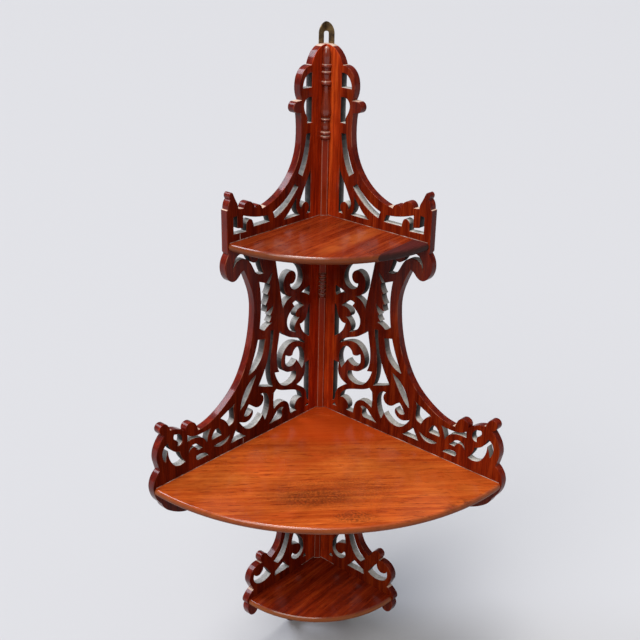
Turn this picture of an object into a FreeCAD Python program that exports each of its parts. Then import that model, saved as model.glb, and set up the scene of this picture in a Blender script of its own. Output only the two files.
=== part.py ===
"""Corner wall shelf: two pierced panels, three quarter-round shelves, turned corner strips and a hanger.

Sizes are in millimetres. +Z is up, the front is -Y and the room corner runs up the Z axis, where the backs
of the two panels meet. The origin is the top of the hanger's slot, where the wall hook carries the shelf.
"""
import FreeCAD
import Part

import math
import os

doc = FreeCAD.newDocument("corner_shelf")
V = FreeCAD.Vector
UP = V(0, 0, 1)

# Driving sizes
sizes = doc.addObject("Spreadsheet::Sheet", "Sizes")
DRIVING = (
    ("panel_thickness", 11.0),
    ("stile_width", 24.0),
    ("gallery_width", 20.5),
    ("shelf_thickness", 10.0),
    ("nose_bulge", 3.0),
    ("top_radius", 178.5),
    ("middle_radius", 315.0),
    ("bottom_radius", 151.5),
    ("crest_rise", 226.3),
    ("upper_tier", 295.7),
    ("lower_tier", 270.4),
    ("tail_drop", 100.6),
    ("saw_tolerance", 0.5),
    ("splice_start", 57.0),
    ("splice_angle", 49.0),
    ("strip_width", 11.6),
    ("strip_flat", 7.8),
    ("strip_rise", 1.9),
    ("turning_offset", 4.1),
    ("bead_radius", 6.1),
    ("bead_waist", 4.4),
    ("bead_flat", 2.4),
    ("bead_pitch", 6.2),
    ("middle_bead_drop", 74.2),
    ("lower_bead_drop", 64.4),
    ("slot_rise", 14.5),
    ("slot_width", 10.8),
    ("slot_corner", 2.5),
    ("slot_length", 25.0),
    ("plate_thickness", 1.2),
    ("plate_wing", 14.5),
    ("plate_top", 12.0),
    ("plate_length", 60.0),
    ("recess_clearance", 0.3),
    ("hanger_edge", 5.0),
    ("hanger_pitch", 12.0),
    ("screw_radius", 1.6),
    ("head_radius", 3.2),
    ("head_depth", 1.6),
    ("screw_length", 9.0),
    ("nail_width", 3.0),
    ("nail_thickness", 1.8),
    ("nail_tip", 0.8),
    ("nail_length", 28.0),
    ("nail_inset", 45.0),
    ("nail_edge", 38.0),
)
for row, (alias, value) in enumerate(DRIVING, start=1):
    sizes.set("A%d" % row, alias)
    sizes.set("B%d" % row, "%g" % value)
    sizes.setAlias("B%d" % row, alias)
doc.recompute()


def size(alias):
    return float(sizes.get(alias))


# Levels of the crest, the tops of the shelves and the tail, and the inner corner between the panels.
TOP_LEVEL = "-Sizes.slot_rise - Sizes.crest_rise"
MIDDLE_LEVEL = TOP_LEVEL + " - Sizes.upper_tier"
BOTTOM_LEVEL = MIDDLE_LEVEL + " - Sizes.lower_tier"
CORNER = "-Sizes.panel_thickness * sqrt(2)"
panel = size("panel_thickness")
shelf = size("shelf_thickness")
crest_level = -size("slot_rise")
top_level = crest_level - size("crest_rise")
middle_level = top_level - size("upper_tier")
bottom_level = middle_level - size("lower_tier")
tail_level = bottom_level - size("tail_drop")
corner_y = -panel * math.sqrt(2)
glue_line = size("top_radius") - size("gallery_width")

# The fret is drawn on squared paper, across from the inner corner and up from the top of the middle shelf.
# Rulers pair what is drawn with what it stands for: levels, then the stile, glue line and edge of each shelf.
HEIGHTS = (
    (-371, tail_level),
    (-270.4, bottom_level),
    (0, middle_level),
    (295.7, top_level),
    (522, crest_level),
)
INNER = ((0, 0), (24, size("stile_width")), (158, glue_line))
TOP_WIDTHS = INNER + ((178.5, size("top_radius")),)
MIDDLE_WIDTHS = INNER + ((315, size("middle_radius")),)
BOTTOM_WIDTHS = ((0, 0), (24, size("stile_width")), (151.5, size("bottom_radius")))


def read_off(ruler, drawn):
    """Real length of a drawn one, between two marks of a ruler or past its ends."""
    low, high = ruler[0], ruler[1]
    for mark in ruler[2:]:
        if drawn > high[0]:
            low, high = high, mark
    return low[1] + (drawn - low[0]) * (high[1] - low[1]) / (high[0] - low[0])


def level(drawn):
    return read_off(HEIGHTS, drawn)


def at(across, up):
    """Distance from the room corner along the panel, and height, of a drawn point.

    Widths change over from those of the middle shelf to those of the shelf above or below, and late in the
    lower tier, where the bracket keeps to the middle shelf.
    """
    if up > 0:
        share, far = min(up / HEIGHTS[3][0], 1), TOP_WIDTHS
    else:
        share, far = min(up / HEIGHTS[1][0], 1) ** 2, BOTTOM_WIDTHS
    reach = (1 - share) * read_off(MIDDLE_WIDTHS, across) + share * read_off(far, across)
    return panel + reach, level(up)


def runs(points):
    """Split a closed outline at its corners, which are the points with a third value."""
    first = next(i for i, point in enumerate(points) if len(point) == 3)
    ring = points[first:] + points[:first + 1]
    found = [[ring[0]]]
    for point in ring[1:]:
        found[-1].append(point)
        if len(point) == 3:
            found.append([point])
    return found[:-1]


def arcs(points):
    """Tangent arcs that follow a smooth curve through the points as closely as the saw does."""
    curve = Part.BSplineCurve()
    curve.interpolate(points)
    return curve.toBiArcs(size("saw_tolerance"))


def draw(points):
    """Lines and arcs of one outline on the plane of the right panel's back."""
    edges = []
    for run in runs(points):
        flat = []
        for point in run:
            reach, height = at(point[0], point[1])
            flat.append(V(reach, height, 0))
        if len(flat) == 2:
            edges.append(Part.LineSegment(flat[0], flat[1]))
        else:
            edges += arcs(flat)
    return edges


# Outer edge of the fret, from the head down the front of each tier to the tail.
HEAD = [
    (3, 522, 1), (9, 520.3), (15, 516.8), (20.5, 511.8), (25, 505), (27.5, 498.5, 1),
    (34.5, 497.5), (41.5, 493), (46.8, 486), (49, 477), (48.8, 466.5), (45, 456, 1),
    (55, 455.5, 1), (59, 452.5), (60, 448.5), (59, 444), (55, 441, 1), (47.5, 440, 1),
]
TOP_RIM = [
    (45.5, 420), (46.5, 400), (52, 380), (63, 361), (78.5, 346), (97, 335), (118, 328.5, 1),
    (121, 333.5), (125.5, 335.3), (131.5, 332.5, 1),
    (135, 340), (141.5, 344.5), (147.5, 342), (151, 335.5, 1), (160, 337, 1),
    (162.5, 347), (166.5, 353.5), (171, 360), (174, 358.5), (174.8, 355), (173.3, 351.5, 1),
    (176.3, 347.5), (177.8, 339, 1),
    (180, 338.5, 1), (180, 284, 1), (178, 281, 1),
]
MIDDLE_RIM = [
    (183, 273), (185, 263.5), (183, 254), (178, 246), (171, 242), (163, 245), (157, 250.5), (151.5, 253, 1),
    (143, 236), (135.5, 215), (134, 195), (136, 172), (141, 146), (150, 120), (164, 95.5), (181, 78.5),
    (201, 65.5), (220, 57.5), (238, 54.5, 1),
    (240.8, 62.5), (245.8, 69), (252.3, 70.6), (258, 67), (259, 60.8, 1),
    (267, 67), (275, 71), (284.5, 73, 1),
    (286.5, 79), (290.8, 83.8), (296.5, 85.2), (301, 82.3), (302, 77.3), (299.5, 72.7), (294.5, 69.5, 1),
    (303.5, 58.5), (308, 47.5), (308.5, 38), (306.5, 29), (304.5, 22, 1),
    (311, 16), (315.5, 8), (317, -1), (315, -11), (310.5, -19.5), (304, -27, 1),
]
LOWER_RIM = [
    (299, -36), (289, -45), (276, -53), (262, -57.5), (251, -57.5), (243, -54, 1),
    (210, -57), (172, -64.5), (136, -80), (106, -104.5), (87, -135), (79.5, -165), (81, -190), (89, -208),
    (104, -220, 1),
    (109.5, -212.3), (115.3, -205.5), (121, -203.8), (125.3, -207), (126, -212.5), (123, -218.5, 1),
    (129, -217.8), (136, -219), (143, -224), (147.8, -232), (148.5, -240), (145.5, -249), (140.5, -258, 1),
    (147.5, -262), (152.5, -268), (153.8, -274), (150.5, -279, 1),
    (153, -286), (150.5, -295.5), (145, -302.5), (139, -303), (133.5, -298, 1),
    (118, -297), (102, -306), (88, -325), (76, -347.5), (62, -364), (44, -371, 1),
]

# Piercings of the gallery over the top shelf: head, shoulder, two long leaves, hook with its ball, and pegs.
TOP_PIERCINGS = [
    [(26.5, 489, 1), (34, 487.5), (40.5, 481), (43.5, 470.5, 1), (26.5, 470.5, 1)],
    [(26, 457.5, 1), (38, 455), (41, 449), (38, 439), (35, 425, 1), (26, 425, 1)],
    [(28, 411.5, 1), (36, 411.5, 1), (38.5, 397), (43.5, 379), (51, 362, 1), (43, 356.5, 1), (36, 371),
     (31, 389)],
    [(26.5, 366, 1), (32, 352.5), (40, 337.5), (45.5, 325), (47, 316), (43.5, 311, 1), (41.5, 317.5),
     (36.5, 320), (31.5, 317.5), (30.5, 311), (34.5, 303.5, 1), (26.5, 303.5, 1)],
    [(50.5, 343.5, 1), (57.5, 349, 1), (69, 336.5), (83, 326.5), (98, 319.5, 1), (95, 310.5, 1), (84, 315),
     (72, 322.5), (60, 333)],
    [(52.5, 331, 1), (60, 322), (69, 312), (79, 304.5, 1), (47.5, 304.5, 1), (52.5, 311), (54, 319)],
    [(104.5, 308, 1), (133.5, 308, 1), (134.5, 314), (137, 318), (140, 319.3), (143.5, 318), (145.8, 313.5),
     (146.3, 304.5, 1), (168.8, 305.5, 1), (168.8, 327.5, 1), (162.3, 328.5, 1), (161.8, 312, 1),
     (152.3, 310, 1), (151.8, 326.5, 1), (140, 322.5), (125, 319), (108, 317.5, 1)],
]

# Piercings of the tall middle tier, stile side: slot, scrolls and the ring with its hanging tooth.
STILE_PIERCINGS = [
    [(24.5, 9.5, 1), (31.5, 9.5, 1), (28, 14.5, 1)],
    [(24.5, 17, 1), (28.5, 22), (29.5, 30), (33, 38), (39, 44), (50, 52, 1), (42, 55.5), (35.5, 62),
     (33.5, 71), (34, 81, 1), (24.5, 82, 1)],
    [(50, 10.5, 1), (63.5, 10.5, 1), (64.5, 19), (67, 27), (72, 33), (80, 36), (88, 35), (97, 30.5, 1),
     (98, 44), (97, 56, 1), (92, 60, 1), (84, 55.5), (72, 51), (58, 46.5), (46, 40.5), (40.5, 34),
     (38.5, 27, 1), (43, 28.5), (48.5, 27), (53.3, 22), (54, 16)],
    [(77, 25.5, 1), (84, 27.5), (91, 24), (98.5, 17.5), (107, 10.5, 1), (84, 10.5, 1), (81, 14), (81, 19)],
    [(95, 86.5, 1), (90, 74), (84, 66), (76, 60), (67, 58), (58, 60.5), (51.5, 67), (52, 73.5), (60, 76.5),
     (68, 78), (75.5, 82), (80.5, 89), (82, 98), (80, 107.5), (75, 115), (67.5, 120.5), (58.5, 121.8),
     (49, 119.5), (34, 112.5, 1), (40, 119.5), (50, 125.5), (62, 129.5), (73, 136), (85.5, 147, 1),
     (88.5, 130), (91, 113), (90.5, 99), (86, 84.5, 1)],
    [(59.5, 102, 1), (66, 101.5), (73, 107, 1), (74.3, 99), (72.5, 91), (66, 86), (58, 86.5), (51, 92, 1),
     (46, 85), (39.5, 74.5, 1), (35.5, 83), (34.8, 93), (37.5, 104), (43.5, 110), (50, 111.2), (56, 108.5)],
    [(95, 262, 1), (91, 240), (86.5, 217), (82.5, 195), (79.5, 177.5, 1), (74, 185.5), (61, 191, 1),
     (69, 194), (75, 201), (78, 211), (76.5, 220.5), (70.5, 227.5), (63, 229), (56, 225), (54, 218),
     (57.5, 211), (65, 210.5, 1), (60, 201.5), (50, 200), (42.5, 205), (39.7, 214), (42.5, 225), (50, 234),
     (60, 240), (74, 245, 1), (78, 262, 1)],
    [(25, 198, 1), (34, 195.3), (43.5, 191.5, 1), (34, 188.3), (27, 183.5, 1), (25, 187, 1)],
    [(37, 171, 1), (44, 178), (51, 182.3), (60, 180.5, 1), (56, 175, 1), (62, 171.5), (68, 166), (71, 156),
     (68.5, 146), (61, 138.5), (51, 134, 1), (55, 141), (52.5, 149), (44, 156, 1), (51, 158.5),
     (53.5, 163), (50.5, 167.5), (44.5, 170)],
    [(24.5, 120, 1), (33, 126), (39.5, 133.5), (44.5, 145, 1), (37, 146.5), (31.5, 153), (27.5, 166),
     (24.5, 171, 1)],
    [(28, 246, 1), (38, 252), (54, 257), (70, 259, 1), (65, 270), (50, 273.5), (36, 267)],
]

# Piercings of the middle tier, front side: leaf, crook, swan-necked scroll and the slender blades.
FRONT_PIERCINGS = [
    [(97, 152, 1), (103, 153, 1), (104, 140), (107, 122), (113, 102), (121, 87), (127, 77.5, 1), (117, 73),
     (107, 69.5), (98.5, 66.5, 1), (102, 77), (104, 92), (103.5, 107), (100.5, 128)],
    [(131, 97, 1), (141, 91.5), (151, 81), (158.5, 68), (162.5, 54, 1), (153, 61.5), (143.5, 75), (136, 87)],
    [(114, 144, 1), (127.5, 147, 1), (132, 133), (138, 118), (146, 101, 1), (136, 104), (126, 111.5),
     (119.5, 121), (116, 133)],
    [(122, 63.5, 1), (113.5, 62), (108, 55), (106.5, 45), (108.5, 33), (115, 20.5, 1), (119.5, 31, 1),
     (124, 26), (132, 21), (141, 18.5), (150, 20.5), (158, 27.5), (164, 36, 1), (156, 32.5), (148.5, 31.5),
     (141.5, 35), (138.3, 41), (139.8, 46.5, 1), (143, 42), (149, 39.5), (155, 43, 1), (151, 50),
     (146, 56.5, 1), (138.5, 51), (131.5, 46.3), (124, 46), (118.3, 51), (118, 58)],
    [(124, 163, 1), (121.8, 182), (121.2, 203), (124, 229.5, 1), (111, 224, 1), (106, 230.5), (99.5, 237, 1),
     (101.5, 230), (106.5, 222, 1), (104, 221.5, 1), (105, 215), (110, 207.5, 1), (106.8, 207, 1),
     (108, 200.5), (113, 193, 1), (109.3, 192.8, 1), (109.8, 188), (112, 182.5, 1), (104, 185.5),
     (98, 190, 1), (99, 183), (104.5, 175.5, 1), (101.3, 175.3, 1), (102.5, 171), (106.5, 166.5, 1),
     (101, 164, 1), (108, 161.5), (115, 157, 1), (120, 159.5)],
    [(116, 240, 1), (129.5, 243.5), (136, 254), (143.5, 264.5), (153, 269.5), (163, 268), (170.5, 257.5, 1),
     (169.5, 267), (164.5, 274), (157, 277), (148.5, 274.5), (142, 269), (138.5, 262.5), (132.5, 258.5),
     (126.5, 261.5), (124, 267, 1), (121.5, 253)],
]

# Piercings of the long wing over the middle shelf.
WING_PIERCINGS = [
    [(172, 68, 1), (185, 62), (199.5, 55.5, 1), (191, 50), (184, 38.5, 1), (174.5, 44), (174.5, 56)],
    [(153, 10.5, 1), (162, 17.5), (170.5, 28.5, 1), (175, 20), (181, 10.5, 1)],
    [(197.5, 30.5, 1), (200.5, 39.5), (205, 43.5), (210.5, 40.5), (214.5, 30, 1)],
    [(181, 26, 1), (190, 21.5), (200, 20), (211.5, 19.5, 1), (204.5, 15), (196, 13.5), (187.5, 17.5)],
    [(217, 48.5, 1), (227, 47.3), (237, 47.3), (247, 49.3), (256.5, 54, 1), (257, 45, 1), (248, 45.3),
     (238.5, 43), (230, 38.5), (223.5, 29, 1), (221.5, 38)],
    [(231.5, 25.5, 1), (237.5, 32), (245, 36.5), (252, 35), (255.5, 25.5, 1), (252, 31), (247, 32.5),
     (242.5, 29.5), (239.5, 25.5, 1)],
    [(221.5, 10.5, 1), (228, 16), (235, 17.8), (242.5, 17.5, 1), (243.5, 13), (240, 10.5, 1)],
    [(271, 62.5, 1), (278.5, 64, 1), (279, 58.5), (274.5, 55.5), (272.5, 50.5), (274, 46, 1), (268, 46.5),
     (265.5, 51.5), (267, 58)],
    [(262, 18, 1), (268, 27), (271, 36.5, 1), (278, 39), (284.5, 45), (290, 56, 1), (295.5, 51.5), (298, 44),
     (297.5, 36), (294.5, 30.5, 1), (292.5, 38), (289.5, 45.5, 1), (288.5, 35), (284.5, 25.5), (278, 19),
     (270, 16.3)],
]

# Piercings of the lower tier, with its bracket under the middle shelf and the tail under the bottom one.
LOWER_PIERCINGS = [
    [(89, -238, 1), (79, -233.5), (71, -222), (65.5, -207), (62.5, -190), (62.5, -170), (66.5, -148, 1),
     (69.5, -166), (71, -184), (75, -201), (82.5, -216), (97.5, -229.5, 1)],
    [(53, -200, 1), (57, -211), (58.5, -220, 1), (50, -222.5), (43, -226), (38.5, -232), (38.5, -239),
     (43, -244), (49, -243.5), (54.5, -236, 1), (58, -239.5), (57, -246), (50, -252), (41.5, -252.5),
     (34.5, -247), (31.5, -237), (33, -226), (38.5, -216.5), (46, -208)],
    [(75.5, -241, 1), (84, -245.5), (94.5, -250.5, 1), (96, -258, 1), (63, -258.5, 1), (70.5, -250)],
    [(104, -249, 1), (111, -237.5), (120, -227, 1), (121.5, -233), (126.5, -237.5), (133, -237.5),
     (139, -231.5, 1), (140, -240), (136.5, -248), (127, -252.8), (115, -253.5)],
    [(25, -258, 1), (33, -258, 1), (29, -251, 1)],
    [(25, -196, 1), (35, -192), (46, -181), (53, -165), (54.5, -147, 1), (46, -157), (38, -160), (30, -157),
     (25, -150, 1)],
    [(25, -138, 1), (32, -144), (41, -144), (50, -136), (57, -122), (66, -108, 1), (52, -110), (40, -106),
     (31, -98), (25, -88, 1)],
    [(76, -122, 1), (90, -106), (110, -88), (130, -74), (151, -63, 1), (138, -55), (121, -54), (103, -64),
     (88, -86)],
    [(25, -74, 1), (35, -86), (49, -93.5), (64, -93), (75, -84, 1), (80, -66), (92, -50), (108, -40, 1),
     (84, -37), (60, -43), (41, -55)],
    [(25, -62, 1), (36, -47), (52, -35.5), (72, -27, 1), (25, -27, 1)],
    [(166, -54, 1), (185, -49.5), (206, -47.5), (230, -46, 1), (214, -37.5), (196, -34.5), (178, -39)],
    [(128, -42, 1), (145, -45), (160, -45), (172, -36, 1), (158, -27.5), (140, -29)],
    [(246, -46.5, 1), (262, -48), (278, -42), (291, -30, 1), (279, -26), (262, -28)],
    [(28, -295, 1), (60, -294), (93, -297, 1), (80, -314), (68, -336), (55, -352, 1), (50, -335),
     (42, -317)],
    [(27, -312, 1), (36, -326), (42, -342), (44, -360, 1), (33, -358), (27, -350, 1)],
]
PIERCINGS = (
    ("gallery_sawing", TOP_PIERCINGS),
    ("stile_sawing", STILE_PIERCINGS),
    ("front_sawing", FRONT_PIERCINGS),
    ("wing_sawing", WING_PIERCINGS),
    ("lower_sawing", LOWER_PIERCINGS),
)


def turned(angle, base=V(0, 0, 0)):
    return FreeCAD.Placement(base, FreeCAD.Rotation(UP, angle))


def new_sketch(body, name, plane):
    """Sketch on one of the body's own origin planes."""
    sketch = body.newObject("Sketcher::SketchObject", name)
    base = next(item for item in body.Origin.OriginFeatures if item.Role == plane)
    sketch.AttachmentSupport = (base, "")
    sketch.MapMode = "FlatFace"
    return sketch


def box(name, low, high, placement):
    """Box between two corners given in the frame of its placement."""
    item = doc.addObject("Part::Box", name)
    item.Length = high[0] - low[0]
    item.Width = high[1] - low[1]
    item.Height = high[2] - low[2]
    item.Placement = placement.multiply(FreeCAD.Placement(V(*low), FreeCAD.Rotation()))
    return item


def common(name, base, tool):
    item = doc.addObject("Part::Common", name)
    item.Base = base
    item.Tool = tool
    return item


def cut(name, base, tool):
    item = doc.addObject("Part::Cut", name)
    item.Base = base
    item.Tool = tool
    return item


def fuse(name, shapes):
    item = doc.addObject("Part::MultiFuse", name)
    item.Shapes = shapes
    return item


def group(name, shapes):
    """Pieces that lie clear of each other, kept as one object."""
    item = doc.addObject("Part::Compound", name)
    item.Links = shapes
    return item


def outline_of(corners):
    """Straight edges round a list of corners."""
    return [Part.LineSegment(corners[i - 1], corners[i]) for i in range(len(corners))]


def flat_body(name, edges, plane="XZ_Plane"):
    """Body padded from one flat pattern, and its pad."""
    body = doc.addObject("PartDesign::Body", name)
    body.AllowCompound = True
    sketch = new_sketch(body, name + "_pattern", plane)
    sketch.addGeometry(edges, False)
    pad = body.newObject("PartDesign::Pad", name + "_pad")
    pad.Profile = sketch
    return body, pad


def turned_body(name, edges, angle=360):
    """Body revolved about its own Z axis from a profile of radius and height."""
    body = doc.addObject("PartDesign::Body", name)
    sketch = new_sketch(body, name + "_profile", "XZ_Plane")
    sketch.addGeometry(edges, False)
    spin = body.newObject("PartDesign::Revolution", name + "_turning")
    spin.Profile = sketch
    spin.ReferenceAxis = (sketch, ["V_Axis"])
    spin.Angle = angle
    return body


# The right panel runs through to the room corner. Its blank is sawn to the outline of the fret.
through_edge = -panel * INNER[1][0] / INNER[1][1]
BACK_EDGE = [(through_edge, HEIGHTS[0][0], 1), (through_edge, HEIGHTS[4][0], 1)]
blank, board = flat_body("fret_blank", draw(HEAD + TOP_RIM + MIDDLE_RIM + LOWER_RIM + BACK_EDGE))
board.setExpression("Length", "Sizes.panel_thickness")
blank.Placement = turned(-45)

# What the fret saw takes out, tier by tier, right through the blank and past both faces.
waste = {}
for name, piercings in PIERCINGS:
    edges = []
    for piercing in piercings:
        edges += draw(piercing)
    waste[name], sawn = flat_body(name, edges)
    sawn.Midplane = True
    sawn.setExpression("Length", "4 * Sizes.panel_thickness")
    waste[name].Placement = turned(-45)


# Cut nails hold the panels and the shelves: flat, tapered in their width and driven in from the backs.
def nail_set(name, places):
    """One node for a set of like nails; returns the nails, which also make their holes."""
    nails = []
    for number, (side, reach, height) in enumerate(places, start=1):
        nail = doc.addObject("Part::Wedge", "%s_%d" % (name, number))
        nail.setExpression("Xmin", "-Sizes.nail_width / 2")
        nail.setExpression("Xmax", "Sizes.nail_width / 2")
        nail.setExpression("X2min", "-Sizes.nail_tip / 2")
        nail.setExpression("X2max", "Sizes.nail_tip / 2")
        nail.setExpression("Zmin", "-Sizes.nail_thickness / 2")
        nail.setExpression("Zmax", "Sizes.nail_thickness / 2")
        nail.setExpression("Z2min", "-Sizes.nail_thickness / 2")
        nail.setExpression("Z2max", "Sizes.nail_thickness / 2")
        nail.Ymin = 0
        nail.setExpression("Ymax", "Sizes.nail_length")
        into_wood = FreeCAD.Placement(V(side * reach, 0, height), FreeCAD.Rotation(UP, 180))
        nail.Placement = turned(-45 * side).multiply(into_wood)
        nails.append(nail)
    group(name, nails)
    return nails


def shelf_places(radius, height):
    """A nail near the stile and one near the shelf's front, through each panel: left pair, then right."""
    reaches = (panel + size("nail_inset"), panel + size(radius) - size("nail_edge"))
    return [(side, reach, height - shelf / 2) for side in (-1, 1) for reach in reaches]


CORNER_NAILS = (440, 340, 125, -130, -325)
butt = panel / 2
corner_bores = nail_set("corner_nails", [(1, butt, level(drawn)) for drawn in CORNER_NAILS])
top_bores = nail_set("top_shelf_nails", shelf_places("top_radius", top_level))
middle_bores = nail_set("middle_shelf_nails", shelf_places("middle_radius", middle_level))
bottom_bores = nail_set("bottom_shelf_nails", shelf_places("bottom_radius", bottom_level))


# Hanger screws: countersunk head and plain shank, one through each wing of the plate.
def screw(name, side, reach, height):
    shank = size("screw_radius")
    length = size("screw_length")
    body = turned_body(name, outline_of([
        V(0, 0, 0), V(size("head_radius"), 0, 0), V(shank, size("head_depth"), 0), V(shank, length, 0),
        V(0, length, 0)]))
    into_wood = FreeCAD.Placement(V(side * reach, 0, height), FreeCAD.Rotation(V(1, 0, 0), 90))
    body.Placement = turned(-45 * side).multiply(into_wood)
    return body


plate_bottom = size("plate_top") - size("plate_length")
hanger_low = plate_bottom + size("hanger_edge")
hanger_high = hanger_low + size("hanger_pitch")
hanger_bores = [
    screw("hanger_screw_right", 1, size("plate_wing") - size("hanger_edge"), hanger_high),
    screw("hanger_screw_left", -1, butt, hanger_low),
]
group("hanger_screws", hanger_bores)


# Brass hanger: a plate folded into the room corner, round at the top, with a slot on the fold that is round
# at its foot and nearly square at its top.
def quarter(start, end, centre):
    outward = (start + end) * 0.5 - centre
    return Part.Arc(start, centre + outward * ((start - centre).Length / outward.Length), end)


def hanger_wing(name, side):
    wing = side * size("plate_wing")
    top = size("plate_top")
    shoulder = top - size("plate_wing")
    half = size("slot_width") / 2
    corner = size("slot_corner")
    slot_end = -size("slot_length")
    slot_side = side * half
    slot_top = side * (half - corner)
    body, sheet = flat_body(name, [
        quarter(V(0, top, 0), V(wing, shoulder, 0), V(0, shoulder, 0)),
        Part.LineSegment(V(wing, shoulder, 0), V(wing, plate_bottom, 0)),
        Part.LineSegment(V(wing, plate_bottom, 0), V(0, plate_bottom, 0)),
        Part.LineSegment(V(0, plate_bottom, 0), V(0, slot_end, 0)),
        quarter(V(0, slot_end, 0), V(slot_side, slot_end + half, 0), V(0, slot_end + half, 0)),
        Part.LineSegment(V(slot_side, slot_end + half, 0), V(slot_side, -corner, 0)),
        quarter(V(slot_side, -corner, 0), V(slot_top, 0, 0), V(slot_top, -corner, 0)),
        Part.LineSegment(V(slot_top, 0, 0), V(0, 0, 0)),
        Part.LineSegment(V(0, 0, 0), V(0, top, 0)),
    ])
    sheet.setExpression("Length", "Sizes.plate_thickness")
    body.Placement = turned(-45 * side)
    return body


folded = fuse("hanger_folded", [hanger_wing("hanger_right_wing", 1), hanger_wing("hanger_left_wing", -1)])
cut("hanger_plate", folded, group("hanger_holes", hanger_bores))

# The plate is let in flush behind the head, so both backs stay flat against the walls.
recess_reach = size("plate_wing") + size("recess_clearance")
recess_low = plate_bottom - size("recess_clearance")
recess = []
for side in (1, -1):
    span = sorted((0, side * recess_reach))
    recess.append(box("hanger_recess", (span[0], -size("plate_thickness"), recess_low), (span[1], panel, 0),
                      turned(-45 * side)))

# Boards of a panel: the stile board, and the two pieces glued on for the gallery end and the long wing.
GALLERY_FOOT = 207
WING_HEAD = 148
WING_FOOT = -100


def outer_side(name, low, high):
    """All that lies past the right panel's glue line between two levels."""
    far = 2 * (panel + size("middle_radius"))
    return box(name, (panel + glue_line, -2 * panel, low), (far, panel, high), turned(-45))


def turned_over(name, source):
    """A piece of the left panel, which is the right one turned over."""
    item = doc.addObject("Part::Mirroring", name)
    item.Source = source
    item.Normal = V(1, 0, 0)
    return item


gallery_side = outer_side("gallery_side", level(GALLERY_FOOT), crest_level)
wing_side = outer_side("wing_side", level(WING_FOOT), level(WING_HEAD))
stile_blank = cut("stile_blank", blank, group("outer_sides", [gallery_side, wing_side]))
stile_fret = cut("stile_fret", stile_blank, group("all_waste", list(waste.values())))
gallery_blank = common("gallery_blank", blank, gallery_side)
gallery_waste = group("gallery_waste", [waste["gallery_sawing"], waste["front_sawing"]])
right_gallery = cut("right_gallery_end", gallery_blank, gallery_waste)
wing_blank = common("wing_blank", blank, wing_side)
wing_waste = group("wing_waste", [waste["front_sawing"], waste["wing_sawing"], waste["lower_sawing"]])
wing_fret = cut("wing_fret", wing_blank, wing_waste)

# The left panel stops short, to butt against the face of the right one. Holes and recess are made last.
butt_cut = box("butt_cut", (-panel, -panel, tail_level), (panel, 0, crest_level), turned(-45))
shared = corner_bores + recess
left_holes = shared + [butt_cut] + top_bores[:2] + middle_bores[:1] + bottom_bores[:2]
right_holes = shared + hanger_bores + top_bores[2:] + middle_bores[2:3] + bottom_bores[2:]
cut("right_inner_board", stile_fret, fuse("right_holes", right_holes))
cut("left_inner_board", turned_over("left_stile_fret", stile_fret), fuse("left_holes", left_holes))
cut("right_wing_board", wing_fret, middle_bores[3])
cut("left_wing_board", turned_over("left_wing_fret", wing_fret), middle_bores[1])
turned_over("left_gallery_end", right_gallery)


# Shelves: quarter rounds set between the panels, with a rounded front edge.
def shelf_board(name, radius, height, bores):
    flat = size(radius) - size("nose_bulge")
    body = turned_body(name + "_blank", [
        Part.LineSegment(V(0, 0, 0), V(flat, 0, 0)),
        Part.Arc(V(flat, 0, 0), V(size(radius), shelf / 2, 0), V(flat, shelf, 0)),
        Part.LineSegment(V(flat, shelf, 0), V(0, shelf, 0)),
        Part.LineSegment(V(0, shelf, 0), V(0, 0, 0)),
    ], 90)
    body.Placement = turned(-135)
    body.setExpression("Placement.Base.y", CORNER)
    body.setExpression("Placement.Base.z", height + " - Sizes.shelf_thickness")
    return cut(name, body, group(name + "_holes", bores))


top_whole = shelf_board("top_shelf_whole", "top_radius", TOP_LEVEL, top_bores)
shelf_board("middle_shelf", "middle_radius", MIDDLE_LEVEL, middle_bores)
shelf_board("bottom_shelf", "bottom_radius", BOTTOM_LEVEL, bottom_bores)

# The right tip of the top shelf is a later piece, spliced on along the grain.
splice_y = corner_y - math.sqrt(size("top_radius") ** 2 - size("splice_start") ** 2)
past_shelf = 2 * size("top_radius")
splice = box("splice_side", (-past_shelf, -past_shelf, -2 * shelf), (past_shelf, 0, shelf),
             turned(size("splice_angle"), V(size("splice_start"), splice_y, top_level)))
cut("top_shelf", top_whole, splice)
common("top_shelf_tip", top_whole, splice)

# Corner strips: a bevelled strip fills the inner corner of each tier, turned into beads and an urn.
bead = size("bead_radius")
waist = size("bead_waist")
pitch = size("bead_pitch")
fit_reach = 4 * size("strip_width")
inner_corner = turned(-135, V(0, corner_y, 0))
corner_fit = box("corner_fit", (0, 0, tail_level), (fit_reach, fit_reach, 0), inner_corner)


def strip(name, low, high):
    half = size("strip_width") / 2
    flat = size("strip_flat") / 2
    front = -half - size("strip_rise")
    body, pad = flat_body(name, outline_of([
        V(0, 0, 0), V(-half, -half, 0), V(-flat, front, 0), V(flat, front, 0), V(half, -half, 0)]),
        "XY_Plane")
    pad.Length = high - low
    body.Placement.Base.z = low
    body.setExpression("Placement.Base.y", CORNER)
    return body


def turning(name, low, steps):
    """Profile that climbs from low in straight steps and in swells, which also name their middle radius."""
    here = V(waist, low, 0)
    edges = [Part.LineSegment(V(0, low, 0), here)]
    for radius, height, *swell in steps:
        there = V(radius, height, 0)
        if swell:
            edges.append(Part.Arc(here, V(swell[0], (here.y + height) / 2, 0), there))
        else:
            edges.append(Part.LineSegment(here, there))
        here = there
    edges.append(Part.LineSegment(here, V(0, here.y, 0)))
    edges.append(Part.LineSegment(V(0, here.y, 0), V(0, low, 0)))
    body = turned_body(name, edges)
    body.setExpression("Placement.Base.y", CORNER + " - Sizes.turning_offset")
    return body


def ring(low, high, radius, top):
    """Steps of one bead: out to its flat, along it and in again."""
    slope = (high - low) * (1 - size("bead_flat") / pitch) / 2
    return [(radius, low + slope), (radius, high - slope), (top, high)]


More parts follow.
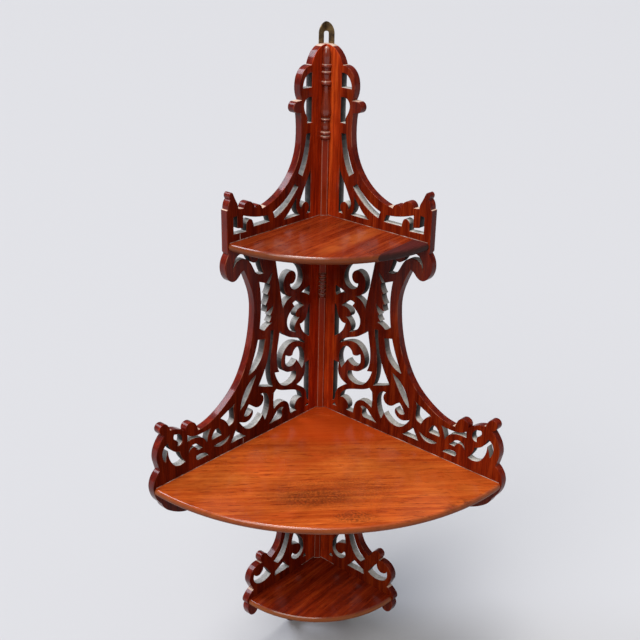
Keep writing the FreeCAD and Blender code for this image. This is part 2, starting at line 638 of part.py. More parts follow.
# Upper strip: two beads, a bulb, a ring, the urn with its slender neck, a ring, a bowl, two rings and a top
# like a bullet.
URN_FOOT = 400
neck = 0.65 * bead
urn = ring(level(URN_FOOT), level(405.5), bead, waist)
urn += ring(level(405.5), level(411), bead, neck)
urn += [(neck, level(424), 0.84 * bead)]
urn += ring(level(424), level(428), 0.9 * bead, neck)
urn += [(0.97 * bead, level(435)), (0.93 * bead, level(442)), (0.54 * bead, level(469), 0.67 * bead)]
urn += ring(level(469), level(477), bead, 0.78 * bead)
urn += [(0.78 * bead, level(485), 0.7 * bead)]
urn += ring(level(485), level(489), 0.92 * bead, neck)
urn += [(neck, level(493))]
urn += ring(level(493), level(498), bead, 0.84 * bead)
urn += [(0.84 * bead, level(509)), (0.08 * bead, level(520.3), 0.66 * bead)]
upper_whole = fuse("upper_strip_whole", [strip("upper_strip", top_level, level(URN_FOOT)),
                                         turning("upper_turning", level(URN_FOOT), urn)])
common("upper_corner_strip", upper_whole, corner_fit)

# Middle and lower strips: plain, with a band of like beads under the shelf above.
BEAD_COUNT = 6


def beaded_strip(name, low, high, drop):
    stop = high - size(drop)
    start = stop - BEAD_COUNT * pitch
    beads = []
    for number in range(BEAD_COUNT):
        beads += ring(start + number * pitch, start + (number + 1) * pitch, bead, waist)
    whole = fuse(name + "_whole", [
        strip(name + "_foot", low, start),
        turning(name + "_beads", start, beads),
        strip(name + "_head", stop, high),
    ])
    common(name, whole, corner_fit)


beaded_strip("middle_corner_strip", middle_level, top_level - shelf, "middle_bead_drop")
beaded_strip("lower_corner_strip", bottom_level, middle_level - shelf, "lower_bead_drop")

NODES = (
    "left_inner_board", "left_gallery_end", "left_wing_board",
    "right_inner_board", "right_gallery_end", "right_wing_board",
    "top_shelf", "top_shelf_tip", "middle_shelf", "bottom_shelf",
    "upper_corner_strip", "middle_corner_strip", "lower_corner_strip",
    "hanger_plate", "hanger_screws", "corner_nails",
    "top_shelf_nails", "middle_shelf_nails", "bottom_shelf_nails",
)
doc.recompute()
for item in doc.Objects:
    if "Invalid" in item.State or "Error" in item.State:
        raise RuntimeError("%s did not build: %s" % (item.Name, item.State))

os.makedirs("parts", exist_ok=True)
for node in NODES:
    shape = doc.getObject(node).Shape
    if shape.isNull() or not shape.isValid() or not shape.Solids:
        raise RuntimeError("%s is not a valid solid" % node)
    print("%-22s solids %2d  volume %9.0f mm3  faces %4d"
          % (node, len(shape.Solids), shape.Volume, len(shape.Faces)))
    shape.exportStep("parts/%s.step" % node)
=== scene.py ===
"""Looks of a pierced mahogany corner shelf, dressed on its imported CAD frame."""

import math

import bmesh
import bpy
from mathutils import Matrix, Vector


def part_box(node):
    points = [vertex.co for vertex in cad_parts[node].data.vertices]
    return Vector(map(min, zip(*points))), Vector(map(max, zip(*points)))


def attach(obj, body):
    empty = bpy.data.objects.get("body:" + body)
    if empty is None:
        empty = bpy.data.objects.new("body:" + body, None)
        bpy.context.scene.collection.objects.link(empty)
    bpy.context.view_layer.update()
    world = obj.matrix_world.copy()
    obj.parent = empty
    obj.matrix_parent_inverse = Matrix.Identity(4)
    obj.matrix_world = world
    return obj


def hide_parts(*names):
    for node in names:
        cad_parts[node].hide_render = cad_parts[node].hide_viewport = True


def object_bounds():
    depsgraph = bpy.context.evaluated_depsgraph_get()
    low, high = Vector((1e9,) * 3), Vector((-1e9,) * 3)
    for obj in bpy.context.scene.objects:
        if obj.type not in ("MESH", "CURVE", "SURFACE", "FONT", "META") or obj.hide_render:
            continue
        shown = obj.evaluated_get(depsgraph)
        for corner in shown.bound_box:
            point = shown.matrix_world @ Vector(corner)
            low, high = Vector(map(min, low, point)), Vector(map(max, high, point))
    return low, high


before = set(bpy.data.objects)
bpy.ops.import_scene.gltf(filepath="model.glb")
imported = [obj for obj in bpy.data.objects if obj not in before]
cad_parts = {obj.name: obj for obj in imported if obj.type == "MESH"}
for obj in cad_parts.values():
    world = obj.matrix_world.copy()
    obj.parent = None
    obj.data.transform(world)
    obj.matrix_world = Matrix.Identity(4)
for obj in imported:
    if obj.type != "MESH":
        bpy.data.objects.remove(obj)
cad_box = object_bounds()

# Pierced panels. Each wall panel is three mahogany boards glued edge to edge along the grain, sawn to a
# scrolled outline and pierced with a fret saw. Faces and outline are French polished deep red. The sawn
# walls inside the piercings were never polished and have gone grey with dust, and light is painted on them:
# dark towards the front, pale towards the back, and pale where they look up. A painted shade darkens the
# panels round the middle shelf's level.
PANEL_FRONTS = {"left": Vector((1, -1, 0)).normalized(), "right": Vector((-1, -1, 0)).normalized()}
PANEL_BOARDS = ("inner_board", "gallery_end", "wing_board")
MM = 0.001
PANEL_THICKNESS = 11 * MM
PANEL_ARRIS = 0.7 * MM
CORNER_EDGE = 12.1 * MM
CREST_DEPTH = 3 * MM
WELD = 0.03 * MM
GLUE_FIT = 0.05 * MM
STEPS_PER_METRE = 20000
FLAT_ANGLE = math.radians(0.6)
ARRIS_ANGLE = math.radians(34)
NOTCH_ANGLE = math.radians(25)
CREASE_ANGLE = math.radians(50)
FLAT_WEIGHT = 80
EDGE_ON = 0.3
TURNED_TO = 0.9
FACE_ON = 0.95
# Piercing walls that look up are painted pale: dust, and painted light falling from above.
WALL_DUST_AND_LIGHT_TILT = (0.1, 0.7)


def merged(node):
    """The CAD node's loose triangles welded together, with each flat face made whole again."""
    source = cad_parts[node].data
    work = bmesh.new()
    corners = [work.verts.new(vertex.co) for vertex in source.vertices]
    for polygon in source.polygons:
        work.faces.new([corners[index] for index in polygon.vertices])
    bmesh.ops.remove_doubles(work, verts=work.verts, dist=WELD)
    bmesh.ops.dissolve_limit(work, angle_limit=FLAT_ANGLE, verts=work.verts, edges=work.edges)
    work.normal_update()
    return work


def ease_arrises(work, width, keep_sharp=None, within=False):
    """Rounds the sharp edges that years of polishing have softened."""
    arrises = [
        edge for edge in work.edges
        if edge.is_manifold and edge.calc_face_angle(0) > ARRIS_ANGLE
        and not (keep_sharp and keep_sharp(edge))
    ]
    bmesh.ops.bevel(work, geom=arrises, offset=width, offset_type="OFFSET", segments=2, profile=0.5,
                    affect="EDGES", clamp_overlap=within)
    work.normal_update()


def piece_of(name, work, material, slot, *nodes):
    """Makes the finished piece: smooth over its curves, flat on its flats, in place of its CAD nodes."""
    mesh = bpy.data.meshes.new(name)
    work.to_mesh(mesh)
    work.free()
    mesh.polygons.foreach_set("use_smooth", [True] * len(mesh.polygons))
    mesh.set_sharp_from_angle(angle=CREASE_ANGLE)
    piece = bpy.data.objects.new(name, mesh)
    bpy.context.scene.collection.objects.link(piece)
    flats = piece.modifiers.new("flats", "WEIGHTED_NORMAL")
    flats.keep_sharp = True
    flats.weight = FLAT_WEIGHT
    seen = piece.evaluated_get(bpy.context.evaluated_depsgraph_get())
    shaded = bpy.data.meshes.new_from_object(seen)
    piece.modifiers.clear()
    piece.data = shaded
    shaded.name = name
    shaded.materials.clear()
    shaded.materials.append(material)
    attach(piece, "root")
    if nodes:
        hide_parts(*nodes)


def in_notch(face):
    """True where a face that looks up meets a wall that rises beside it."""
    return any(
        edge.is_manifold and not edge.is_convex and edge.calc_face_angle(0) > NOTCH_ANGLE
        for edge in face.edges
    )


def upward_share(face, tilt):
    """Share of pale dust and painted light on a face, from none at the first tilt upward to all at the
    second.
    """
    none, full = tilt
    return min(max((face.normal.z - none) / (full - none), 0.0), 1.0)


def mark_walls(boards, front, on_glue_line):
    """Walls of one panel that join into its longest run are the outline; all other runs are piercings.

    Ledges that are painted pale, with dust and with light falling from above, are told apart too: the
    outline's flats, in its notches and along the crest, and the walls of a piercing as far as they look up.
    """
    layers = [{name: work.faces.layers.float.new(name) for name in ("piercing", "outline", "ledge")}
              for work in boards]
    runs = {}
    parent = {}

    def root(item):
        while parent[item] != item:
            item = parent[item]
        return item

    for number, work in enumerate(boards):
        work.faces.ensure_lookup_table()
        work.faces.index_update()
        for face in work.faces:
            if abs(face.normal.dot(front)) > EDGE_ON or on_glue_line(face.verts):
                continue
            here = (number, face.index)
            parent[here] = here
            for edge in face.edges:
                run = edge.verts[0].co - edge.verts[1].co
                if abs(run.dot(front)) < TURNED_TO * run.length:
                    continue
                middle = (edge.verts[0].co + edge.verts[1].co) / 2
                key = tuple(round(value * STEPS_PER_METRE) for value in middle)
                if key in runs:
                    parent[root(here)] = root(runs[key])
                runs[key] = here
    spans = {}
    for number, index in parent:
        low, high = spans.get(root((number, index)), (math.inf, -math.inf))
        heights = [vertex.co.z for vertex in boards[number].faces[index].verts]
        spans[root((number, index))] = (min(low, *heights), max(high, *heights))
    outline = max(spans, key=lambda item: spans[item][1] - spans[item][0])
    crest = spans[outline][1] - CREST_DEPTH
    for number, index in parent:
        face = boards[number].faces[index]
        if root((number, index)) != outline:
            face[layers[number]["piercing"]] = 1.0
            # Piercing walls that look up are painted pale: dust and painted light from above.
            face[layers[number]["ledge"]] = upward_share(face, WALL_DUST_AND_LIGHT_TILT)
            continue
        face[layers[number]["outline"]] = 1.0
        if face.normal.z > TURNED_TO and (in_notch(face) or face.calc_center_median().z > crest):
            face[layers[number]["ledge"]] = 1.0
    return layers


def on_back_corner(face, outward):
    """True for the long edge of a panel that stands in the room's corner."""
    close = all(vertex.co.dot(outward) < CORNER_EDGE for vertex in face.verts)
    return close and face.normal.dot(outward) < -TURNED_TO


def mark_finish(work, front, walls=None, outward=None):
    """Writes what the wood reads: finish is (saw cut, bare back, arris), rim is (outline, ledge, depth).

    A ledge is where pale dust and painted light lie. On a panel, depth runs from the front face to the back
    and sets the painted light on the sawn walls. On a shelf, which has no sawn walls, depth is how far the
    rounded edge turns away from the top.
    """
    finish = work.loops.layers.float_color.new("finish")
    rim = work.loops.layers.float_color.new("rim")
    for face in work.faces:
        facing = face.normal.dot(front)
        hidden = outward is not None and on_back_corner(face, outward)
        bare = 1.0 if facing < -FACE_ON or hidden else 0.0
        sawn = walls is not None and abs(facing) < EDGE_ON
        arris = 1.0 if walls is not None and EDGE_ON <= abs(facing) <= FACE_ON else 0.0
        piercing, outline, ledge = (face[walls[name]] for name in walls) if sawn else (0.0, 0.0, 0.0)
        for loop in face.loops:
            depth = 1.0 - (loop.vert.co.dot(front) / PANEL_THICKNESS if walls is not None else facing)
            loop[finish] = (piercing, bare, arris, 1.0)
            loop[rim] = (outline, ledge, min(max(depth, 0.0), 1.0), 1.0)


def add(tree, kind, **settings):
    """Adds one node, with its settings."""
    made = tree.nodes.new(kind)
    for key, value in settings.items():
        setattr(made, key, value)
    return made


def fill(made, **values):
    """Sets a node's unlinked inputs by name, with _ for a space."""
    for key, value in values.items():
        made.inputs[key.replace("_", " ")].default_value = value
    return made


def new_group(kind, name, inputs, outputs):
    """An empty node group with named inputs and outputs."""
    tree = bpy.data.node_groups.new(name, kind)
    for label, socket in inputs:
        tree.interface.new_socket(label, in_out="INPUT", socket_type=socket)
    for label, socket in outputs:
        tree.interface.new_socket(label, in_out="OUTPUT", socket_type=socket)
    return tree, add(tree, "NodeGroupInput"), add(tree, "NodeGroupOutput")


def worked_out(tree, operation, first, second):
    """Maths on two values, each a socket or a plain number."""
    node = add(tree, "ShaderNodeMath", operation=operation)
    for socket, value in zip(node.inputs, (first, second)):
        if isinstance(value, (int, float)):
            socket.default_value = value
        else:
            tree.links.new(value, socket)
    return node.outputs["Value"]


def noise(tree, where, scale, detail=3.0, rough=0.55, bend=0.0):
    """A cloudy value, with about as many clouds to the unit as its scale."""
    node = fill(add(tree, "ShaderNodeTexNoise"), Scale=scale, Detail=detail, Roughness=rough, Distortion=bend)
    tree.links.new(where, node.inputs["Vector"])
    return node.outputs["Fac"]


def spread(tree, value, low, high, to_low=0.0, to_high=1.0, smooth=False):
    """Takes a value from one range to another, held at its ends."""
    node = fill(add(tree, "ShaderNodeMapRange"), From_Min=low, From_Max=high, To_Min=to_low, To_Max=to_high)
    if smooth:
        node.interpolation_type = "SMOOTHSTEP"
    tree.links.new(value, node.inputs["Value"])
    return node.outputs["Result"]


def ramp_of(tree, stops, value):
    """Colour for a value, between stops that each have a value and a colour."""
    ramp = add(tree, "ShaderNodeValToRGB")
    elements = ramp.color_ramp.elements
    while len(elements) < len(stops):
        elements.new(0.5)
    for element, (place, colour) in zip(elements, stops):
        element.position = place
        element.color = (*colour, 1.0)
    tree.links.new(value, ramp.inputs["Fac"])
    return ramp.outputs["Color"]


def mixed(tree, share, under, over, blend="MIX"):
    """Lays one colour over another by a share; each is a socket or a plain value."""
    mix = add(tree, "ShaderNodeMix", data_type="RGBA", blend_type=blend)
    if isinstance(share, float):
        mix.inputs["Factor"].default_value = share
    else:
        tree.links.new(share, mix.inputs["Factor"])
    colours = [socket for socket in mix.inputs if socket.type == "RGBA"]
    for socket, colour in zip(colours, (under, over)):
        if isinstance(colour, tuple):
            socket.default_value = (*colour, 1.0)
        else:
            tree.links.new(colour, socket)
    return next(socket for socket in mix.outputs if socket.type == "RGBA")


BAND_SHARE = 0.55
FIBRE_SHARE = 0.45


def mahogany_figure():
    """Grain of one board: streaks of broad bands and fine fibres, short dark pores, and slow clouds."""
    tree, given, put = new_group(
        "ShaderNodeTree", "mahogany_figure",
        [("Along Grain", "NodeSocketVector"), ("In Place", "NodeSocketVector")],
        [("Streak", "NodeSocketFloat"), ("Pores", "NodeSocketFloat"), ("Cloud", "NodeSocketFloat")],
    )
    grain = given.outputs["Along Grain"]
    bands = noise(tree, grain, 1.0, rough=0.5, bend=0.3)
    fibres = noise(tree, grain, 6.5, rough=0.6, bend=0.15)
    streak = worked_out(tree, "ADD", worked_out(tree, "MULTIPLY", bands, BAND_SHARE),
                        worked_out(tree, "MULTIPLY", fibres, FIBRE_SHARE))
    pores = spread(tree, noise(tree, grain, 15.0, detail=2.0, rough=0.5), 0.57, 0.68)
    cloud = noise(tree, given.outputs["In Place"], 14.0, bend=0.8)
    for label, value in (("Streak", streak), ("Pores", pores), ("Cloud", cloud)):
        tree.links.new(value, put.inputs[label])
    return tree


# The saw cuts are grey with dust; their darkening towards the front and paling towards the back is painted
# light.
DUST_AND_LIGHT_TONES = [(0.3, (0.02, 0.016, 0.015)), (0.62, (0.085, 0.08, 0.08)), (0.95, (0.24, 0.235, 0.238))]
DUST_SPECKS = 0.7
DUST_AND_LIGHT_COVER = 0.72


def age_and_light_marks():
    """Worn arrises, grey dust and painted light: saw cuts dark at the front, pale at the back; pale ledges.
    """
    tree, given, put = new_group(
        "ShaderNodeTree", "age_and_light_marks",
        [("In Place", "NodeSocketVector"), ("Arris", "NodeSocketFloat"), ("Depth", "NodeSocketFloat"),
         ("Ledge", "NodeSocketFloat")],
        [("Wear", "NodeSocketFloat"), ("Dust And Light Colour", "NodeSocketColor"), ("Pale", "NodeSocketFloat")],
    )
    here = given.outputs["In Place"]
    rub = spread(tree, noise(tree, here, 45.0, detail=4.0, rough=0.6), 0.52, 0.7)
    wear = worked_out(tree, "MULTIPLY", rub, given.outputs["Arris"])
    specks = noise(tree, here, 160.0, detail=5.0, rough=0.65)
    # Dust specks, with painted light by depth: dark at the front of a cut, pale at the back.
    dust_and_light = worked_out(tree, "ADD", given.outputs["Depth"], worked_out(tree, "MULTIPLY", specks, DUST_SPECKS))
    dust = ramp_of(tree, DUST_AND_LIGHT_TONES, worked_out(tree, "MULTIPLY", dust_and_light, DUST_AND_LIGHT_COVER))
    broken = spread(tree, noise(tree, here, 220.0, detail=4.0, rough=0.6), 0.3, 0.6, to_low=0.6)
    pale = worked_out(tree, "MULTIPLY", given.outputs["Ledge"], broken)
    for label, value in (("Wear", wear), ("Dust And Light Colour", dust), ("Pale", pale)):
        tree.links.new(value, put.inputs[label])
    return tree


FIGURE = mahogany_figure()
AGE_AND_LIGHT = age_and_light_marks()
ENDLESS = 1e6


def placed(tree, place, where=(0.0, 0.0, 0.0), turn=(0.0, 0.0, 0.0), size=(1.0, 1.0, 1.0)):
    """Coordinates of a pattern that is moved, turned and stretched on the board."""
    mapping = fill(add(tree, "ShaderNodeMapping", vector_type="TEXTURE"), Location=where, Rotation=turn,
                   Scale=size)
    tree.links.new(place, mapping.inputs["Vector"])
    return mapping.outputs["Vector"]


def laid_mark(tree, place, centre, half, turn=0.0, speckle=0.0):
    """Share of a stain, streak, worn place, painted shade or painted sheen: an oval, broken up by specks of
    its own scale if any.

    It goes right through the board where its centre and half are given without a height.
    """
    oval = placed(tree, place, (*centre, 0.0)[:3], (0.0, 0.0, math.radians(turn)), (*half, ENDLESS)[:3])
    ball = add(tree, "ShaderNodeTexGradient", gradient_type="SPHERICAL")
    tree.links.new(oval, ball.inputs["Vector"])
    inside = spread(tree, ball.outputs["Fac"], 0.0, 0.6, smooth=True)
    if not speckle:
        return inside
    specks = spread(tree, noise(tree, place, speckle, detail=4.0, rough=0.65), 0.4, 0.6)
    return worked_out(tree, "MULTIPLY", inside, specks)


PORE_SHADE = 0.35
PORE_COVER = 0.45
CLOUDING = (0.8, 1.14)
FLECK_TINT = (0.5, 0.34, 0.4)
NOSE_COVER = 0.7
UNDERSIDE_ROUGHNESS = 0.6
BARE_WOOD = (0.13, 0.055, 0.028)
WORN_WOOD = (0.33, 0.10, 0.055)
# Pale is dust and painted light on ledges, and a painted highlight on the strip's arrises and ring tops.
PALE_HIGHLIGHT_AND_DUST = (0.76, 0.55, 0.43)
PALE_DUST_AND_LIGHT = (0.72, 0.69, 0.64)
UNPOLISHED_ROUGHNESS = 0.85
GRAIN_DEPTH = 0.3 * MM


def polished_wood(name, tones, turn, stretch, marks=(), shades=(), flecks=None, outline=(1.0, 1.0, 1.0),
                  nose=None, nose_coat=1.0, polish=(0.2, 0.36), gloss=0.3, coat=0.15, edge_coat=1.0):
    """French-polished mahogany, its grain turned and stretched for the board, under stains, wear, dust and
    painted light.

    Shades make the faces darker or brighter in places, one of them a painted shade, and marks give them
    another tint, one of them a painted sheen. The polish is the roughness where the clouds are dark and where
    they are pale. A nose is a shelf's rounded front edge.
    """
    material = bpy.data.materials.new(name)
    material.use_nodes = True
    tree = material.node_tree
    tree.nodes.clear()
    link = tree.links.new
    place = add(tree, "ShaderNodeTexCoord").outputs["Object"]
    figure = add(tree, "ShaderNodeGroup", node_tree=FIGURE)
    link(placed(tree, place, turn=turn, size=stretch), figure.inputs["Along Grain"])
    link(place, figure.inputs["In Place"])
    finish = add(tree, "ShaderNodeSeparateColor")
    rim = add(tree, "ShaderNodeSeparateColor")
    for label, parts in (("finish", finish), ("rim", rim)):
        link(add(tree, "ShaderNodeAttribute", attribute_name=label).outputs["Color"], parts.inputs["Color"])
    cut, back, arris = finish.outputs
    edge, ledge, depth = rim.outputs
    age_and_light = add(tree, "ShaderNodeGroup", node_tree=AGE_AND_LIGHT)
    for label, value in (("In Place", place), ("Arris", arris), ("Depth", depth), ("Ledge", ledge)):
        link(value, age_and_light.inputs[label])
    colour = ramp_of(tree, tones, figure.outputs["Streak"])
    shade = spread(tree, figure.outputs["Cloud"], 0.3, 0.7, *CLOUDING)
    colour = mixed(tree, 1.0, colour, shade, "MULTIPLY")
    darkest = tones[0][1]
    colour = mixed(tree, worked_out(tree, "MULTIPLY", figure.outputs["Pores"], PORE_COVER), colour,
                   tuple(PORE_SHADE * part for part in darkest))
    if flecks:
        length, width, strength = flecks
        strewn = noise(tree, placed(tree, place, turn=turn, size=(length, width, width)), 1.0)
        share = spread(tree, strewn, 0.56, 0.7, to_high=strength)
        colour = mixed(tree, share, colour, mixed(tree, 1.0, colour, FLECK_TINT, "MULTIPLY"))
    # Shades multiply the colour in places; among them is the painted shade round the middle shelf.
    for centre, half, factor in shades:
        share = worked_out(tree, "SUBTRACT", laid_mark(tree, place, centre, half), edge)
        colour = mixed(tree, share, colour, mixed(tree, 1.0, colour, factor, "MULTIPLY"))
    for centre, half, mark_turn, tint, strength, speckle in marks:
        share = laid_mark(tree, place, centre, half, mark_turn, speckle)
        colour = mixed(tree, worked_out(tree, "MULTIPLY", share, strength), colour, tint)
    # Outline tint: darker end grain with a painted purplish reflection; on turned work, a painted grey sheen.
    colour = mixed(tree, edge, colour, mixed(tree, 1.0, colour, outline, "MULTIPLY"))
    coated = worked_out(tree, "MAXIMUM", worked_out(tree, "MULTIPLY", edge, edge_coat), coat)
    smooth = spread(tree, figure.outputs["Cloud"], 0.25, 0.75, *polish)
    if nose:
        colour = mixed(tree, spread(tree, depth, 0.1, 0.6, to_high=NOSE_COVER), colour, nose)
        shoulder = worked_out(tree, "MULTIPLY", spread(tree, depth, 0.02, 0.15),
                              spread(tree, depth, 0.35, 0.65, to_low=nose_coat, to_high=0.0))
        coated = worked_out(tree, "MAXIMUM", coated, shoulder)
        underside = spread(tree, depth, 0.5, 0.9, to_high=UNDERSIDE_ROUGHNESS)
        smooth = worked_out(tree, "MAXIMUM", smooth, underside)
    colour = mixed(tree, back, colour, BARE_WOOD)
    colour = mixed(tree, age_and_light.outputs["Wear"], colour, WORN_WOOD)
    # Saw cuts take the dust colour with its painted light: dark at the front, pale at the back.
    colour = mixed(tree, cut, colour, age_and_light.outputs["Dust And Light Colour"])
    # Pale ledges: dust and painted light on the panels, a painted highlight on the strip's arrises and ring
    # tops.
    colour = mixed(tree, age_and_light.outputs["Pale"], colour, mixed(tree, cut, PALE_HIGHLIGHT_AND_DUST, PALE_DUST_AND_LIGHT))
    unpolished = worked_out(tree, "MAXIMUM", worked_out(tree, "MAXIMUM", cut, back), age_and_light.outputs["Pale"])
    dull = worked_out(tree, "MULTIPLY", unpolished, UNPOLISHED_ROUGHNESS)
    rough = worked_out(tree, "MAXIMUM", smooth, dull)
    bump = fill(add(tree, "ShaderNodeBump"), Strength=0.15, Distance=GRAIN_DEPTH)
    link(figure.outputs["Streak"], bump.inputs["Height"])
    surface = fill(add(tree, "ShaderNodeBsdfPrincipled"), Specular_IOR_Level=gloss, Coat_Roughness=0.1)
    link(colour, surface.inputs["Base Color"])
    link(rough, surface.inputs["Roughness"])
    bright = worked_out(tree, "SUBTRACT", 1.0, unpolished)
    link(worked_out(tree, "MULTIPLY", coated, bright), surface.inputs["Coat Weight"])
    link(bump.outputs["Normal"], surface.inputs["Normal"])
    link(surface.outputs["BSDF"], add(tree, "ShaderNodeOutputMaterial").inputs["Surface"])
    return material


PANEL_TONES = {
    "left": [(0.37, (0.09, 0.0048, 0.001)), (0.5, (0.165, 0.011, 0.002)), (0.63, (0.28, 0.027, 0.004))],
    "right": [(0.37, (0.095, 0.0056, 0.001)), (0.5, (0.18, 0.0132, 0.002)), (0.63, (0.31, 0.037, 0.005))],
}
GRAIN_UP = (0.0, math.radians(90), 0.0)
PANEL_GRAIN = (220 * MM, 9 * MM, 9 * MM)
STILE_REACH = 42 * MM
STILE_GLOW = {"left": (2.8, 2.9, 2.2), "right": (2.4, 2.7, 2.7)}
WING_TIP = 225 * MM
WING_REACH = 120 * MM
WING_SHADE = (0.7, 0.65, 0.7)
# Painted shade: the panels darkened round the middle shelf's level, where the shelf shades them, the left
# panel more than the right.
PAINTED_SHADE = {"left": (0.52, 0.54, 0.8), "right": (0.78, 0.8, 1.0)}
PAINTED_SHADE_OUT = 100 * MM
PAINTED_SHADE_RISE = 40 * MM
PAINTED_SHADE_HALF = (120 * MM, 120 * MM, 100 * MM)
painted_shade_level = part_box("middle_shelf")[1].z + PAINTED_SHADE_RISE
# The sawn outline is tinted darker, as end grain, with a purplish cast that is a painted reflection.
OUTLINE_TINT = {"left": (0.85, 0.62, 0.8), "right": (0.8, 0.62, 0.8)}
OUTLINE_COAT = {"left": 0.48, "right": 0.1}
corner_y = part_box("middle_corner_strip")[1].y
glue_lines = []

for side, front in PANEL_FRONTS.items():
    outward = Vector((-front.y, front.x, 0)) if side == "right" else Vector((front.y, -front.x, 0))
    nodes = [f"{side}_{board}" for board in PANEL_BOARDS]
    boards = [merged(node) for node in nodes]
    glue_line = min(vertex.co.dot(outward) for vertex in boards[1].verts)

    def on_glue_line(vertices, outward=outward, glue_line=glue_line):
        """True for what lies in the joint between the inner board and the two others."""
        return all(abs(vertex.co.dot(outward) - glue_line) < GLUE_FIT for vertex in vertices)

    shades = [((0.0, corner_y), (STILE_REACH, STILE_REACH), STILE_GLOW[side])]
    if side == "left":
        shades.append(((-WING_TIP, -WING_TIP), (WING_REACH, WING_REACH), WING_SHADE))
    # The painted shade round the middle shelf's level, set out from the corner on each panel.
    painted_shade_place = (math.copysign(PAINTED_SHADE_OUT, outward.x), -PAINTED_SHADE_OUT, painted_shade_level)
    shades.append((painted_shade_place, PAINTED_SHADE_HALF, PAINTED_SHADE[side]))
    panel_polish = polished_wood(f"{side}_panel_polish", PANEL_TONES[side], GRAIN_UP, PANEL_GRAIN,
                                 shades=shades, outline=OUTLINE_TINT[side], gloss=0.1, coat=0.05,
                                 edge_coat=OUTLINE_COAT[side])
    walls = mark_walls(boards, front, on_glue_line)
    for node, work, layers in zip(nodes, boards, walls):
        glued = [face for face in work.faces if on_glue_line(face.verts)] if work is not boards[0] else []
        for face in glued:
            heights = [vertex.co.z for vertex in face.verts]
            foot = outward * glue_line + front * PANEL_THICKNESS
            glue_lines.append((side, foot, min(heights), max(heights)))
        ease_arrises(work, PANEL_ARRIS, lambda edge: on_glue_line(edge.verts))
        mark_finish(work, front, layers, outward)
        piece_of(f"{node}_polished", work, panel_polish, "panel_wood", node)

# Shelves. Three quarter rounds of brighter mahogany butt between the panels on nails. The front edge is
# rounded over and polished. The middle one is the lightest, stained and scuffed by what stood on it.
SHELF_ARRIS = 0.5 * MM
SHELF_GRAIN = (240 * MM, 7.5 * MM, 12 * MM)
SHELF_FLECKS = (18 * MM, 2.8 * MM, 0.9)
STAIN = (0.06, 0.014, 0.005)
GOLDEN = (0.62, 0.155, 0.024)
HONEY = (0.50, 0.105, 0.02)
# Painted reflection: a pale pinkish sheen on the top shelf's left front.
PAINTED_SHEEN = (0.38, 0.085, 0.03)
RED_SHADE = (0.72, 0.074, 0.008)
RED_STREAK = (0.46, 0.050, 0.007)
TOP_GRAIN_ANGLE = 49.0
# Each has its grain's angle, its tones, its marks and the colour of its front edge. A mark is a centre and
# half lengths in metres, a turn in degrees, a tint, its cover, and the scale of the specks that break it up.
SHELVES = {
    "top_shelf": (
        TOP_GRAIN_ANGLE,
        [(0.36, (0.155, 0.0125, 0.0024)), (0.5, (0.25, 0.027, 0.0052)), (0.64, (0.37, 0.056, 0.0105))],
        [((0.03, -0.126), (0.10, 0.019), 51.0, HONEY, 0.62, 22.0),
         # The painted reflection sheen on the left front.
         ((-0.06, -0.15), (0.06, 0.035), TOP_GRAIN_ANGLE, PAINTED_SHEEN, 0.4, 70.0)],
        (0.18, 0.048, 0.009),
    ),
    "middle_shelf": (
        1.5,
        [(0.35, (0.36, 0.043, 0.005)), (0.5, (0.50, 0.083, 0.0112)), (0.65, (0.64, 0.136, 0.0195))],
        [((0.02, -0.07), (0.16, 0.085), 0.0, RED_SHADE, 0.7, 0.0),
         ((-0.05, -0.17), (0.09, 0.035), 20.0, RED_STREAK, 0.65, 22.0),
         ((0.03, -0.19), (0.07, 0.035), 0.0, GOLDEN, 0.35, 18.0),
         ((0.13, -0.23), (0.10, 0.04), -8.0, GOLDEN, 0.3, 18.0),
         ((-0.15, -0.22), (0.07, 0.03), 8.0, GOLDEN, 0.5, 18.0),
         ((-0.005, -0.255), (0.095, 0.038), 6.0, STAIN, 0.19, 0.0),
         ((0.0, -0.25), (0.125, 0.05), 5.0, STAIN, 0.34, 480.0),
         ((-0.02, -0.262), (0.06, 0.024), 10.0, STAIN, 0.58, 300.0),
         ((0.026, -0.306), (0.036, 0.017), 0.0, STAIN, 0.66, 330.0),
         ((0.16, -0.285), (0.03, 0.012), 30.0, STAIN, 0.6, 120.0)],
        (0.2, 0.049, 0.008),
    ),
    "bottom_shelf": (
        47.0,
        [(0.36, (0.125, 0.0082, 0.0014)), (0.5, (0.24, 0.0185, 0.0026)), (0.64, (0.40, 0.051, 0.007))],
        [],
        (0.34, 0.1, 0.016),
    ),
}


def shelf_piece(node, material, slot):
    """A shelf, or a part of one, with its arrises eased."""
    work = merged(node)
    ease_arrises(work, SHELF_ARRIS)
    mark_finish(work, Vector((0, 0, 1)))
    piece_of(f"{node}_polished", work, material, slot, node)


for node, (angle, tones, marks, nose) in SHELVES.items():
    polish = polished_wood(f"{node}_polish", tones, (0.0, 0.0, math.radians(angle)), SHELF_GRAIN, marks,
                           flecks=SHELF_FLECKS, nose=nose, polish=(0.2, 0.32), gloss=0.25, coat=0.2)
    shelf_piece(node, polish, "shelf_wood")

# Spliced tip. The right end of the top shelf broke off once and was made good with a darker, duller piece
# of wood, glued on along the grain.
TIP_GRAIN = (250 * MM, 10 * MM, 20 * MM)
TIP_NOSE = (0.022, 0.012, 0.01)
tip_polish = polished_wood(
    "tip_polish",
    [(0.3, (0.045, 0.008, 0.007)), (0.5, (0.085, 0.014, 0.012)), (0.7, (0.13, 0.026, 0.02))],
    (0.0, 0.0, math.radians(TOP_GRAIN_ANGLE)), TIP_GRAIN, nose=TIP_NOSE, nose_coat=0.0,
    polish=(0.35, 0.55), gloss=0.2, coat=0.0,
)
shelf_piece("top_shelf_tip", tip_polish, "dark_wood")

